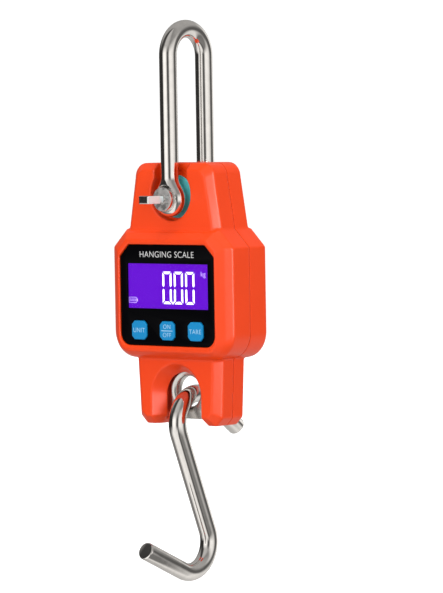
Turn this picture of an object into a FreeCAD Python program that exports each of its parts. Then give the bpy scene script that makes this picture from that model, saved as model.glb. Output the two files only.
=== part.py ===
import FreeCAD, Part
import Sketcher
import math
import os
import re

# Crane scale: a digital hanging scale with a D shackle above and an S hook below.
# Frame: +Z up, the display faces -Y, +X to the right of someone reading the display.
# The origin is the inside top of the shackle bow, where the scale hangs. Every sub-part is drawn
# about the pin axis and the parting plane of the case, and placed bow_drop below the origin.
# "front" is the distance in front of the parting plane, so it is -Y.

doc = FreeCAD.newDocument("CraneScale")
sizes = doc.addObject("Spreadsheet::Sheet", "Sizes")

DIMENSIONS = (
    # shackle and its pin
    ("bow_drop", 73.4, "inside top of the bow down to the pin axis"),
    ("bow_rod_r", 4.05, "rod of the shackle"),
    ("bow_bend_r", 12.45, "centreline of the bow's bend, half the spacing of the legs"),
    ("eye_r", 8.1, "outside of the shackle's eyes"),
    ("eye_thick", 8.3, "each eye along the pin"),
    ("pin_r", 4.0, "shaft of the pin"),
    ("pin_gap", 0.07, "running clearance round the pin"),
    ("pin_tail", 1.2, "pin showing past the rear eye"),
    ("collar_r", 5.5, "collar of the pin"),
    ("collar_thick", 2.1, "collar along the pin"),
    ("tab_root_r", 1.9, "round root of the tab bar"),
    ("tab_root", 4.1, "round root of the tab bar along the pin"),
    ("tab_wide", 5.6, "tab bar across"),
    ("tab_tall", 3.7, "tab bar up and down"),
    ("tab_long", 8.5, "tab bar along the pin"),
    ("spot_deep", 1.3, "spot face of the front eye"),
    ("washer_r", 6.0, "pin washer outside"),
    ("washer_thick", 0.6, "pin washer"),
    ("face_gap", 0.15, "between flat faces that slide on each other"),
    # case, seen from the front
    ("neck_top", 16.4, "top of the case above the pin axis"),
    ("neck_round", 6.5, "top corners of the neck"),
    ("neck_half_up", 23.9, "half width of the neck at the top"),
    ("neck_half_low", 27.9, "half width of the neck where it flares"),
    ("flare_start", 13.8, "flare starts this far below the pin axis"),
    ("wide_half", 36.2, "half width of the wide part"),
    ("neck_root", 4.0, "neck carried on behind the wide part"),
    ("wide_low", 72.9, "bottom of the wide part"),
    ("wide_round", 12.5, "lower corners of the wide part"),
    ("tail_half_up", 26.0, "half width of the tail at its top"),
    ("tail_half_low", 24.6, "half width of the tail above its corners"),
    ("tail_low", 103.5, "bottom of the case"),
    ("tail_cut", 3.7, "cut corners of the two ears"),
    ("tail_root", 14.0, "tail carried up behind the wide part"),
    # case, seen from the side
    ("neck_side", 9.2, "half depth of the neck's side faces"),
    ("neck_face", 12.5, "neck face in front of the parting plane"),
    ("wide_side", 11.2, "half depth of the wide part's side faces"),
    ("wide_mid", 14.0, "break between the two bevels of the bezel"),
    ("wide_face", 16.5, "bezel face in front of the parting plane"),
    ("bevel_mid", 3.2, "bezel inset at the break between its bevels"),
    ("bevel_mid_top", 1.6, "bezel inset at the break, along its top"),
    ("bevel_mid_low", 1.3, "bezel inset at the break, along its bottom"),
    ("bevel_in", 6.7, "bezel inset at its face"),
    ("bevel_top", 4.7, "bezel inset at its face, along its top"),
    ("bevel_low", 3.3, "bezel inset at its face, along its bottom"),
    ("rear_in", 8.0, "rear bulge inset at its face"),
    ("tail_side", 7.1, "half depth of the tail's side faces"),
    ("tail_face", 10.8, "tail face in front of the parting plane"),
    # recess for the shackle
    ("groove_half", 9.75, "groove for a leg of the shackle, half width"),
    ("groove_floor", 7.8, "groove floor in front of the parting plane"),
    ("well_r", 12.0, "round well about the pin"),
    ("well_up", 2.0, "well centre above the pin axis"),
    ("well_floor", 7.3, "well floor in front of the parting plane"),
    # slot for the hook
    ("slot_half", 10.6, "slot half width inside"),
    ("slot_mouth", 15.1, "slot half width at the case's face"),
    ("slot_centre", 90.4, "centre of the slot's arch below the pin axis"),
    ("slot_inner", 4.3, "where the slot's funnel starts in front of the parting plane"),
    # display and keys
    ("panel_half", 28.5, "panel half width"),
    ("panel_up", 20.9, "panel top below the pin axis"),
    ("panel_low", 66.9, "panel bottom below the pin axis"),
    ("panel_cut", 5.4, "upper corners of the panel"),
    ("panel_round", 5.5, "lower corners of the panel"),
    ("panel_face", 15.8, "panel face in front of the parting plane"),
    ("panel_thick", 1.5, "panel"),
    ("fit_gap", 0.15, "clearance round pieces laid in the case"),
    ("lens_half", 24.35, "display window half width"),
    ("lens_up", 29.5, "display window top below the pin axis"),
    ("lens_low", 50.0, "display window bottom below the pin axis"),
    ("lens_sink", 0.25, "window below the panel's face"),
    ("lens_thick", 1.1, "window"),
    ("key_half", 4.45, "key half width"),
    ("key_tall", 8.6, "key height"),
    ("key_cut", 1.6, "key corners"),
    ("key_pitch", 17.0, "between key centres"),
    ("key_level", 60.0, "key centres below the pin axis"),
    ("key_proud", 0.5, "keys in front of the panel's face"),
    ("key_travel", 0.6, "travel of a key"),
    ("key_gap", 0.2, "round a key in the panel"),
    ("key_rim", 0.5, "key's flange beyond its cap"),
    ("key_rim_thick", 1.1, "key's flange"),
    ("bay_half", 29.0, "electronics bay half width"),
    ("bay_up", 22.6, "electronics bay top below the pin axis"),
    ("bay_low", 66.4, "electronics bay bottom below the pin axis"),
    ("bay_face", 12.3, "electronics bay in front of the parting plane"),
    ("ledge_in", 1.4, "ledge under the panel"),
    ("board_back", 7.6, "rear of the board in front of the parting plane"),
    ("board_thick", 1.6, "main board"),
    ("board_gap", 0.8, "round the board"),
    ("glass_back", 11.3, "rear of the LCD in front of the parting plane"),
    ("glass_thick", 2.2, "LCD"),
    ("glass_over", 1.2, "LCD beyond the window"),
    ("frame_wall", 1.0, "LCD frame wall"),
    ("switch_half", 3.0, "key switch half width"),
    ("switch_deep", 2.8, "key switch off the board"),
    ("light_over", 0.6, "backlight beyond the window"),
    ("strip_in", 4.0, "contact strip short of the window's sides"),
    ("board_screw_r", 1.0, "board screws"),
    ("board_screw_head_r", 1.9, "board screw heads"),
    ("board_screw_head", 1.2, "board screw heads along the screw"),
    ("board_screw_in", 3.0, "board screws in from the bay's corners"),
    ("beeper_r", 3.6, "beeper"),
    ("beeper_deep", 3.2, "beeper off the board"),
    # load cell
    ("cell_half", 12.4, "load cell half width"),
    ("cell_thick", 8.0, "load cell thickness in the middle"),
    ("cell_eye_thick", 6.0, "load cell thickness at its eyes"),
    ("cell_top", 12.6, "load cell top above the pin axis"),
    ("cell_low", 101.0, "load cell bottom below the pin axis"),
    ("cell_cut", 4.0, "cut corners of the load cell"),
    ("cell_gap", 0.3, "round the load cell in the case"),
    ("cell_eye_low", 88.5, "hook eye centre below the pin axis"),
    ("cell_eye_r", 7.0, "hook eye"),
    ("cell_rim", 2.4, "rounding of the hook eye's rim"),
    ("cell_slot_half", 7.0, "window in the load cell, half width"),
    ("cell_slot_up", 33.0, "window in the load cell, top below the pin axis"),
    ("cell_slot_low", 57.0, "window in the load cell, bottom below the pin axis"),
    ("bush_r", 5.5, "barrel of a bush"),
    ("bush_lip", 0.7, "flange of a bush"),
    ("flange_r", 9.8, "outside of a bush's flange"),
    ("flange_up", 1.0, "flange centre above the pin axis"),
    ("gauge_wide", 3.0, "strain gauge across"),
    ("gauge_tall", 7.0, "strain gauge up and down"),
    ("gauge_thick", 0.2, "strain gauge"),
    ("terminal_wide", 6.0, "terminal strip across"),
    ("terminal_tall", 3.0, "terminal strip up and down"),
    ("terminal_thick", 2.4, "terminal strip"),
    ("terminal_drop", 2.0, "terminal strip below the window in the load cell"),
    ("lead_r", 0.8, "sensor lead"),
    ("lead_bend", 4.0, "bend of the sensor lead"),
    # hook
    ("hook_rod_r", 4.1, "rod of the hook"),
    ("hook_bend_r", 13.3, "centreline of the hook's bends"),
    ("hook_back", 3.25, "upper bend centre behind the parting plane"),
    ("hook_down", 103.0, "upper bend centre below the pin axis"),
    ("hook_lean", 22.3, "shank from the vertical, degrees"),
    ("hook_shank", 48.9, "straight of the shank"),
    ("hook_tail", 25.6, "straight of the upper tip"),
    ("hook_tail_dip", 36.0, "upper tip below the horizontal, degrees"),
    ("hook_tip", 27.7, "straight of the lower tip"),
    ("hook_tip_rise", 24.7, "lower tip above the horizontal, degrees"),
    # battery bay and fasteners
    ("battery_r", 5.25, "AAA cell"),
    ("battery_long", 44.5, "AAA cell"),
    ("battery_gap", 0.9, "between one AAA cell and the next"),
    ("battery_level", 45.0, "middle AAA cell below the pin axis"),
    ("battery_floor", 6.0, "battery bay floor behind the parting plane"),
    ("pit_half", 26.0, "battery bay half width"),
    ("pit_over", 1.05, "battery bay above and below the AAA cells"),
    ("door_half", 27.0, "battery door half width"),
    ("spring_r", 2.6, "battery springs"),
    ("plate_thick", 0.6, "battery contact plates"),
    ("plate_wide", 9.6, "battery contact plates, front to rear"),
    ("door_thick", 1.5, "battery door"),
    ("door_low", 3.4, "battery door short of the wide part's bottom"),
    ("door_over", 1.2, "battery door beyond the bay"),
    ("door_gap", 0.2, "round the battery door"),
    ("screw_r", 1.5, "case screws"),
    ("screw_head_r", 2.8, "case screw heads"),
    ("screw_head", 2.0, "case screw heads along the screw"),
    ("screw_bite", 7.0, "case screws into the front shell"),
    ("screw_in", 6.0, "upper case screws in from the neck's sides"),
    ("screw_down", 10.0, "upper case screws below the neck's top"),
    ("screw_rise", 10.0, "lower case screws above the case's bottom"),
    ("cut_over", 40.0, "how far a cut runs on past the case"),
)

for row, (alias, size, note) in enumerate(DIMENSIONS, 1):
    sizes.set(f"A{row}", note)
    sizes.set(f"B{row}", str(size))
    sizes.setAlias(f"B{row}", alias)
doc.recompute()

PIECES = []


def sheet(text):
    """An expression with each alias written as a cell of the sheet."""
    return re.sub(r"[a-z]+(?:_[a-z]+)+", r"Sizes.\g<0>", text)


def value(text):
    """The number that an expression gives now."""
    return float(sizes.evalExpression(sheet(text)))


def new_body(name):
    """A sub-part drawn about the pin axis."""
    body = doc.addObject("PartDesign::Body", name)
    body.Label = name
    body.setExpression("Placement.Base.z", sheet("-bow_drop"))
    PIECES.append(body)
    return body


def new_sketch(body, name, role="XZ_Plane", offset="0"):
    sketch = body.newObject("Sketcher::SketchObject", name)
    plane = [feature for feature in body.Origin.OriginFeatures if feature.Role == role][0]
    sketch.AttachmentSupport = [(plane, "")]
    sketch.MapMode = "FlatFace"
    sketch.setExpression("AttachmentOffset.Base.z", sheet(offset))
    return sketch


def fix(sketch, edge, end, across, up):
    """Holds one point of a sketch at (across, up)."""
    for kind, axis, text in (("DistanceX", -2, across), ("DistanceY", -1, up)):
        if text is None:
            continue
        if text == "0":
            sketch.addConstraint(Sketcher.Constraint("PointOnObject", edge, end, axis))
            continue
        number = sketch.addConstraint(Sketcher.Constraint(kind, -1, 1, edge, end, value(text)))
        sketch.setExpression(f"Constraints[{number}]", sheet(text))


def draw(sketch, corners, closed=True):
    """Lines and arcs from corner to corner. A corner is (across, up), and one that an arc leaves
    has the arc's centre too: (across, up, centre across, centre up)."""
    points = [FreeCAD.Vector(value(c[0]), value(c[1]), 0) for c in corners]
    count = len(corners) if closed else len(corners) - 1
    ends = []
    for i in range(count):
        start, stop = points[i], points[(i + 1) % len(points)]
        if len(corners[i]) == 2:
            edge = sketch.addGeometry(Part.LineSegment(start, stop), False)
            ends.append((edge, 1, 2))
            continue
        centre = FreeCAD.Vector(value(corners[i][2]), value(corners[i][3]), 0)
        first = math.atan2(start.y - centre.y, start.x - centre.x)
        last = math.atan2(stop.y - centre.y, stop.x - centre.x)
        turn = (last - first) % (2 * math.pi)
        ring = Part.Circle(centre, FreeCAD.Vector(0, 0, 1), (start - centre).Length)
        if turn <= math.pi:
            edge = sketch.addGeometry(Part.ArcOfCircle(ring, first, first + turn), False)
            ends.append((edge, 1, 2))
        else:
            edge = sketch.addGeometry(Part.ArcOfCircle(ring, last, last + 2 * math.pi - turn), False)
            ends.append((edge, 2, 1))
    for i in range(count):
        if closed or i + 1 < count:
            here, there = ends[i], ends[(i + 1) % count]
            sketch.addConstraint(Sketcher.Constraint("Coincident", here[0], here[2], there[0], there[1]))
        fix(sketch, ends[i][0], ends[i][1], corners[i][0], corners[i][1])
        if len(corners[i]) > 2:
            fix(sketch, ends[i][0], 3, corners[i][2], None)
    if not closed:
        fix(sketch, ends[-1][0], ends[-1][2], corners[-1][0], corners[-1][1])


def circle(sketch, across, up, radius):
    centre = FreeCAD.Vector(value(across), value(up), 0)
    ring = Part.Circle(centre, FreeCAD.Vector(0, 0, 1), value(radius))
    edge = sketch.addGeometry(ring, False)
    fix(sketch, edge, 3, across, up)
    number = sketch.addConstraint(Sketcher.Constraint("Radius", edge, value(radius)))
    sketch.setExpression(f"Constraints[{number}]", sheet(radius))


def extrude(body, name, kind, shape, start, length):
    """Pads or pockets a shape from `start` in front of the parting plane, further to the front."""
    sketch = new_sketch(body, name + "_outline", offset=start)
    if len(shape[0]) == 3 and shape[0][0] == "round":
        for _, centre, radius in shape:
            circle(sketch, centre[0], centre[1], radius)
    else:
        draw(sketch, shape)
    feature = body.newObject("PartDesign::" + kind, name)
    feature.Profile = sketch
    feature.setExpression("Length", sheet(length))
    feature.Reversed = kind == "Pocket"
    sketch.Visibility = False
    doc.recompute()
    return feature


def pad(body, name, shape, start, length):
    return extrude(body, name, "Pad", shape, start, length)


def pocket(body, name, shape, start, length):
    """Removes a shape, and makes sure that it removed something."""
    before = body.Tip.Shape.Volume
    feature = extrude(body, name, "Pocket", shape, start, length)
    if feature.Shape.Volume > before - 0.01:
        raise RuntimeError(f"{body.Label}: {name} removes nothing")
    return feature


def tiers(body, name, kind, levels):
    """Straight-sided loft through outlines at their distances in front of the parting plane."""
    sketches = []
    for number, (front, corners) in enumerate(levels):
        sketch = new_sketch(body, f"{name}_level_{number}", offset=front)
        draw(sketch, corners)
        sketches.append(sketch)
    doc.recompute()
    feature = body.newObject("PartDesign::" + kind, name)
    feature.Profile = sketches[0]
    feature.Sections = sketches[1:]
    feature.Ruled = True
    doc.recompute()
    return feature


def box_outline(half, top, bottom):
    return [(f"-({half})", top), (half, top), (half, bottom), (f"-({half})", bottom)]


def rectangle(left, right, top, bottom):
    return [(left, top), (right, top), (right, bottom), (left, bottom)]


def cut_outline(half, top, bottom, cut):
    """A rectangle with all four corners cut off."""
    return [
        (f"-({half}-({cut}))", top), (f"{half}-({cut})", top), (half, f"{top}-({cut})"),
        (half, f"{bottom}+({cut})"), (f"{half}-({cut})", bottom), (f"-({half}-({cut}))", bottom),
        (f"-({half})", f"{bottom}+({cut})"), (f"-({half})", f"{top}-({cut})"),
    ]


def disc(across, up, radius):
    return ("round", (across, up), radius)


def join(name, members):
    """Separate solids that share one node."""
    group = doc.addObject("Part::Compound", name)
    group.Label = name
    group.Links = members
    group.setExpression("Placement.Base.z", sheet("-bow_drop"))
    PIECES.append(group)
    return group


def bar(name, across, front, up, wide, deep, tall):
    """A block with its middle at (across, up), from `front` forward by `deep`."""
    block = doc.addObject("Part::Box", name)
    block.setExpression("Length", sheet(wide))
    block.setExpression("Width", sheet(deep))
    block.setExpression("Height", sheet(tall))
    block.setExpression("Placement.Base.x", sheet(f"{across}-({wide})/2"))
    block.setExpression("Placement.Base.y", sheet(f"-({front})-({deep})"))
    block.setExpression("Placement.Base.z", sheet(f"{up}-({tall})/2"))
    return block


def rod(name, across, front, up, radius, length):
    """A cylinder along the depth of the case, from `front` forward by `length`."""
    cylinder = doc.addObject("Part::Cylinder", name)
    cylinder.Placement = FreeCAD.Placement(
        FreeCAD.Vector(0, 0, 0), FreeCAD.Rotation(FreeCAD.Vector(1, 0, 0), 90))
    cylinder.setExpression("Radius", sheet(radius))
    cylinder.setExpression("Height", sheet(length))
    cylinder.setExpression("Placement.Base.x", sheet(across))
    cylinder.setExpression("Placement.Base.y", sheet(f"-({front})"))
    cylinder.setExpression("Placement.Base.z", sheet(up))
    return cylinder


def cross_rod(name, left, front, up, radius, length):
    """A cylinder across the case, from `left` to the right by `length`."""
    cylinder = doc.addObject("Part::Cylinder", name)
    cylinder.Placement = FreeCAD.Placement(
        FreeCAD.Vector(0, 0, 0), FreeCAD.Rotation(FreeCAD.Vector(0, 1, 0), 90))
    cylinder.setExpression("Radius", sheet(radius))
    cylinder.setExpression("Height", sheet(length))
    cylinder.setExpression("Placement.Base.x", sheet(left))
    cylinder.setExpression("Placement.Base.y", sheet(f"-({front})"))
    cylinder.setExpression("Placement.Base.z", sheet(up))
    return cylinder


# ---- shackle -------------------------------------------------------------------------------
# Forged D shackle: a bent rod with an eye at the end of each leg. The legs lie in front of and
# behind the case.
LEG_INSIDE = "(bow_bend_r-eye_thick/2)"
LEG_OUTSIDE = "(bow_bend_r+eye_thick/2)"
SPOT_FACE = f"({LEG_OUTSIDE}-spot_deep)"
BEND_LEVEL = "bow_drop-bow_bend_r+bow_rod_r"

shackle = new_body("shackle_bow")
section = new_sketch(shackle, "rod_section", "XY_Plane")
circle(section, "0", "-bow_bend_r", "bow_rod_r")
route = new_sketch(shackle, "rod_route", "YZ_Plane")
draw(route, [
    ("-bow_bend_r", "0"),
    ("-bow_bend_r", BEND_LEVEL, "0", BEND_LEVEL),
    ("0", f"{BEND_LEVEL}+bow_bend_r", "0", BEND_LEVEL),
    ("bow_bend_r", BEND_LEVEL),
    ("bow_bend_r", "0"),
], closed=False)
doc.recompute()
bent = shackle.newObject("PartDesign::AdditivePipe", "bent_rod")
bent.Profile = section
bent.Spine = route
doc.recompute()
pad(shackle, "front_eye", [disc("0", "0", "eye_r")], LEG_INSIDE, "eye_thick")
pad(shackle, "rear_eye", [disc("0", "0", "eye_r")], f"-{LEG_OUTSIDE}", "eye_thick")
pocket(shackle, "spot_face", [disc("0", "0", "washer_r+face_gap")], SPOT_FACE, "cut_over")
pocket(shackle, "pin_bore", [disc("0", "0", "pin_r+pin_gap")], "-cut_over", "2*cut_over")

washer = new_body("pin_washer")
pad(washer, "washer", [disc("0", "0", "washer_r")], f"{SPOT_FACE}+face_gap", "washer_thick")
pocket(washer, "washer_bore", [disc("0", "0", "pin_r+pin_gap")], SPOT_FACE, "washer_thick+2*face_gap")

COLLAR_BACK = f"{SPOT_FACE}+2*face_gap+washer_thick"
TAB_BACK = f"{COLLAR_BACK}+collar_thick+tab_root"
pin = new_body("shackle_pin")
pad(pin, "shaft", [disc("0", "0", "pin_r")], f"-{LEG_OUTSIDE}-pin_tail",
    f"{LEG_OUTSIDE}+pin_tail+{COLLAR_BACK}")
pad(pin, "collar", [disc("0", "0", "collar_r")], COLLAR_BACK, "collar_thick")
pad(pin, "tab_root", [disc("0", "0", "tab_root_r")], COLLAR_BACK, "collar_thick+tab_root")
pad(pin, "tab_bar", box_outline("tab_wide/2", "tab_tall/2", "-tab_tall/2"), TAB_BACK, "tab_long")


# ---- case ----------------------------------------------------------------------------------
# Two moulded shells that meet at the parting plane. Each is a neck round the shackle's pin, a
# wide part for the display or the batteries, and a tail with two ears round the hook.
TOP_CORNER = "(wide_half-neck_half_low)"
FLARE_END = f"-flare_start-{TOP_CORNER}"


def wide_outline(inset, top, corner, bottom, turn):
    """Eight sides with rounded lower corners."""
    half = f"(wide_half-({inset}))"
    return [
        (f"-({half}-({corner}))", f"-({top})"), (f"{half}-({corner})", f"-({top})"),
        (half, f"-({top})-({corner})"),
        (half, f"-({bottom})+({turn})", f"{half}-({turn})", f"-({bottom})+({turn})"),
        (f"{half}-({turn})", f"-({bottom})"),
        (f"-({half}-({turn}))", f"-({bottom})", f"-({half}-({turn}))", f"-({bottom})+({turn})"),
        (f"-({half})", f"-({bottom})+({turn})"),
        (f"-({half})", f"-({top})-({corner})"),
    ]


def neck_outline(inset):
    """The neck, narrower at its top, down to behind the wide part."""
    half = f"(neck_half_up-({inset}))"
    low = f"(neck_half_low-({inset}))"
    top = f"(neck_top-({inset}))"
    turn = f"(neck_round-({inset})/2)"
    return [
        (f"-({half}-{turn})", top), (f"{half}-{turn}", top, f"{half}-{turn}", f"{top}-{turn}"),
        (half, f"{top}-{turn}"), (low, "-flare_start"), (low, f"{FLARE_END}-neck_root"),
        (f"-{low}", f"{FLARE_END}-neck_root"), (f"-{low}", "-flare_start"),
        (f"-{half}", f"{top}-{turn}", f"-({half}-{turn})", f"{top}-{turn}"),
    ]


def tail_outline(inset):
    """The tail, with the outer corners of its ears cut."""
    up = f"(tail_half_up-({inset}))"
    low = f"(tail_half_low-({inset}))"
    base = f"(tail_low-({inset}))"
    cut = f"(tail_cut-({inset})*0.4)"
    return [
        (f"-{up}", "-wide_low+tail_root"), (up, "-wide_low+tail_root"),
        (up, "-wide_low"), (low, f"-{base}+{cut}"),
        (f"{low}-{cut}", f"-{base}"), (f"-({low}-{cut})", f"-{base}"), (f"-{low}", f"-{base}+{cut}"),
        (f"-{up}", "-wide_low"),
    ]


def slot_outline(half):
    """The arch for the hook, open below, with the inner corners of the ears cut."""
    return [
        (f"-({half})", "-slot_centre", "0", "-slot_centre"),
        ("0", f"-slot_centre+({half})", "0", "-slot_centre"),
        (half, "-slot_centre"), (half, "-tail_low+tail_cut"),
        (f"{half}+tail_cut+1", "-tail_low-1"), (f"-({half}+tail_cut+1)", "-tail_low-1"),
        (f"-({half})", "-tail_low+tail_cut"),
    ]


FUNNEL = "(slot_mouth-slot_half)/(tail_face-slot_inner)"
SCREW_PLACES = [
    (side + across, up)
    for across, up in (
        ("neck_half_up-screw_in", "neck_top-screw_down"),
        ("(slot_mouth+tail_half_low-tail_face+tail_side)/2", "-tail_low+screw_rise"))
    for side in ("", "-")
]


def place(text):
    """A screw's place across, with its sign taken over the whole of it."""
    return f"-({text[1:]})" if text.startswith("-") else text


def signed(distance, front_side):
    return distance if front_side else f"-({distance})"


def case_half(name, front_side, face, face_mid, inset_mid, inset_face):
    """One shell's outside, well, groove, slot and load cell channel."""
    body = new_body(name)
    at = lambda distance: signed(distance, front_side)
    tiers(body, "wide_part", "AdditiveLoft", [
        ("0", wide_outline("0", "flare_start", TOP_CORNER, "wide_low", "wide_round")),
        (at("wide_side"), wide_outline("0", "flare_start", TOP_CORNER, "wide_low", "wide_round")),
        (at(face_mid), wide_outline(
            inset_mid, "flare_start+bevel_mid_top", f"({TOP_CORNER}+panel_cut)/2",
            "wide_low-bevel_mid_low", f"wide_round-({inset_mid})")),
        (at(face), wide_outline(
            inset_face, "flare_start+bevel_top", "panel_cut", "wide_low-bevel_low",
            f"wide_round-({inset_face})")),
    ])
    tiers(body, "neck", "AdditiveLoft", [
        ("0", neck_outline("0")),
        (at("neck_side"), neck_outline("0")),
        (at("neck_face"), neck_outline("neck_face-neck_side")),
    ])
    tiers(body, "tail", "AdditiveLoft", [
        ("0", tail_outline("0")),
        (at("tail_side"), tail_outline("0")),
        (at("tail_face"), tail_outline("tail_face-tail_side")),
    ])
    tiers(body, "hook_funnel", "SubtractiveLoft", [
        (at("slot_inner"), slot_outline("slot_half")),
        (at("tail_face+1"), slot_outline(f"slot_half+{FUNNEL}*(tail_face+1-slot_inner)")),
    ])
    span = lambda start, length: (start, length) if front_side else (f"-({start})-({length})", length)
    pocket(body, "hook_slot", slot_outline("slot_half"), *span("0-1", "slot_inner+1.1"))
    pocket(body, "leg_groove", box_outline("groove_half", "neck_top+cut_over", "0"),
           *span("groove_floor", "cut_over"))
    pocket(body, "pin_well", [disc("0", "well_up", "well_r")], *span("well_floor", "cut_over"))
    pocket(body, "bush_hole", [disc("0", "0", "bush_r+pin_gap")], *span("0-1", "well_floor+2"))
    pocket(body, "cell_channel", box_outline("cell_half+cell_gap", "cell_top+cell_gap", "-cell_low-cell_gap"),
           *span("0-1", "cell_thick/2+cell_gap+1"))
    return body, span


front, span = case_half("front_shell", True, "wide_face", "wide_mid", "bevel_mid", "bevel_in")


def panel_outline(grow):
    half = f"(panel_half+{grow})"
    top = f"-panel_up+{grow}"
    base = f"-panel_low-{grow}"
    middle = f"{half}-panel_round"
    return [
        (f"-({half}-panel_cut)", top), (f"{half}-panel_cut", top), (half, f"{top}-panel_cut"),
        (half, f"{base}+panel_round", middle, f"{base}+panel_round"), (middle, base),
        (f"-({middle})", base, f"-({middle})", f"{base}+panel_round"),
        (f"-{half}", f"{base}+panel_round"), (f"-{half}", f"{top}-panel_cut"),
    ]


pocket(front, "electronics_bay", box_outline("bay_half", "-bay_up", "-bay_low"), "0-1", "bay_face+1")
pocket(front, "panel_seat", panel_outline("fit_gap"), "panel_face-panel_thick", "cut_over")
pocket(front, "panel_window", panel_outline("(0-ledge_in)"), "bay_face-1", "cut_over")
for number, (across, up) in enumerate(SCREW_PLACES):
    pocket(front, f"screw_hole_{number}", [disc(place(across), up, "screw_r")], "0-1", "screw_bite+1.5")

BATTERY_PITCH = "(2*battery_r+battery_gap)"
REAR_FACE = "(battery_floor+2*battery_r+1.5*door_gap+door_thick)"
rear, span = case_half("rear_shell", False, REAR_FACE, "wide_mid", "bevel_mid", "rear_in")
PIT_TALL = f"(2*{BATTERY_PITCH}+2*battery_r+2*pit_over)"
PIT_UP = f"-battery_level+{PIT_TALL}/2"
PIT_LOW = f"-battery_level-{PIT_TALL}/2"
DOOR_FLOOR = f"{REAR_FACE}-door_thick-door_gap"
pocket(rear, "battery_pit", box_outline("pit_half", PIT_UP, PIT_LOW),
       *span("battery_floor-door_gap/2", "cut_over"))
pocket(rear, "door_seat",
       box_outline("door_half+door_gap", f"{PIT_UP}+door_over+door_gap", "-wide_low-cut_over"),
       *span(DOOR_FLOOR, "cut_over"))
for number, (across, up) in enumerate(SCREW_PLACES):
    pocket(rear, f"screw_hole_{number}", [disc(place(across), up, "screw_r+fit_gap")],
           *span("0-1", "cut_over"))
    pocket(rear, f"head_hole_{number}", [disc(place(across), up, "screw_head_r+fit_gap")],
           *span("tail_side-screw_head", "cut_over"))

screws = []
for number, (across, up) in enumerate(SCREW_PLACES):
    screw = doc.addObject("Part::Fuse", f"case_screw_{number}")
    screw.Base = rod(f"case_screw_shank_{number}", place(across), "-(tail_side-screw_head)", up,
                     "screw_r-pin_gap", "screw_bite+tail_side-screw_head")
    screw.Tool = rod(f"case_screw_head_{number}", place(across), "-tail_side+face_gap", up, "screw_head_r",
                     "screw_head-face_gap")
    screws.append(screw)
join("case_screws", screws)


# ---- display and keys ----------------------------------------------------------------------
panel = new_body("front_panel")
pad(panel, "sheet", panel_outline("0"), "panel_face-panel_thick", "panel_thick")
pocket(panel, "window", box_outline("lens_half", "-lens_up", "-lens_low"), "0", "cut_over")
KEYS = (("unit_key", "-key_pitch"), ("power_key", "0"), ("tare_key", "key_pitch"))


def key_outline(centre, grow):
    left, right = f"{centre}-key_half-({grow})", f"{centre}+key_half+{grow}"
    top, base = f"-key_level+key_tall/2+{grow}", f"-key_level-key_tall/2-({grow})"
    return [
        (f"{left}+key_cut", top), (f"{right}-key_cut", top), (right, f"{top}-key_cut"),
        (right, f"{base}+key_cut"), (f"{right}-key_cut", base), (f"{left}+key_cut", base),
        (left, f"{base}+key_cut"), (left, f"{top}-key_cut"),
    ]


KEY_FACE = "panel_face+key_proud"
KEY_BACK = "panel_face-panel_thick-face_gap-key_rim_thick"
for name, centre in KEYS:
    pocket(panel, name + "_hole", key_outline(centre, "key_gap"), "0", "cut_over")
    key = new_body(name)
    pad(key, "cap", key_outline(centre, "0"), KEY_BACK, f"{KEY_FACE}-({KEY_BACK})")
    pad(key, "rim", key_outline(centre, "key_gap+key_rim"), KEY_BACK, "key_rim_thick")

lens = new_body("display_lens")
pad(lens, "pane", box_outline("lens_half-fit_gap", "-lens_up-fit_gap", "-lens_low+fit_gap"),
    "panel_face-lens_sink-lens_thick", "lens_thick")
BOARD_FACE = "(board_back+board_thick)"
glass = new_body("lcd_glass")
pad(glass, "pane", box_outline("lens_half+glass_over", "-lens_up+glass_over", "-lens_low-glass_over"),
    "glass_back", "glass_thick")
light = new_body("lcd_backlight")
pad(light, "pane", box_outline("lens_half+light_over", "-lens_up+light_over", "-lens_low"),
    f"{BOARD_FACE}+face_gap", f"glass_back-face_gap-{BOARD_FACE}-face_gap")
frame = new_body("lcd_frame")
pad(frame, "rim", box_outline("lens_half+glass_over+frame_wall", "-lens_up+glass_over+frame_wall",
    "-lens_low-glass_over-frame_wall"), BOARD_FACE, f"glass_back+glass_thick-{BOARD_FACE}")
pocket(frame, "inside", box_outline("lens_half+glass_over+fit_gap", "-lens_up+glass_over+fit_gap",
       "-lens_low-glass_over-fit_gap"), "0", "cut_over")
strip = new_body("contact_strip")
pad(strip, "rubber", box_outline("lens_half-strip_in", "-lens_low-fit_gap", "-lens_low-glass_over"),
    BOARD_FACE, f"glass_back-{BOARD_FACE}")

board = new_body("main_board")
pad(board, "laminate", box_outline("bay_half-board_gap", "-bay_up-board_gap", "-bay_low+board_gap"),
    "board_back", "board_thick")
BOARD_SCREWS = [
    (side, up)
    for side in ("-(bay_half-board_screw_in)", "bay_half-board_screw_in")
    for up in ("-bay_up-board_screw_in", "-bay_low+board_screw_in")
]
for number, (across, up) in enumerate(BOARD_SCREWS):
    pocket(board, f"screw_hole_{number}", [disc(across, up, "board_screw_r+pin_gap")], "0", "cut_over")
join("key_switches", [
    bar(name + "_switch", centre, BOARD_FACE, "-key_level", "2*switch_half", "switch_deep", "2*switch_half")
    for name, centre in KEYS])
CHIPS = (  # name, across from the bay's middle, below its top, wide, tall, off the board
    ("controller", "17", "17.4", "7", "7", "1.4"),
    ("converter", "-17", "11.4", "5", "6", "1.2"),
    ("regulator", "18", "31.4", "3", "4", "1.6"),
    ("sensor_socket", "-18", "23.4", "5", "5", "2.6"),
)
join("board_chips", [
    bar(name, across, f"board_back-{high}", f"-bay_up-{below}", wide, high, tall)
    for name, across, below, wide, tall, high in CHIPS])
beeper = new_body("beeper")
pad(beeper, "can", [disc("bay_half-2.5*beeper_r", "-bay_low+1.6*beeper_r", "beeper_r")],
    "board_back-beeper_deep", "beeper_deep")
board_fixings = []
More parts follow.
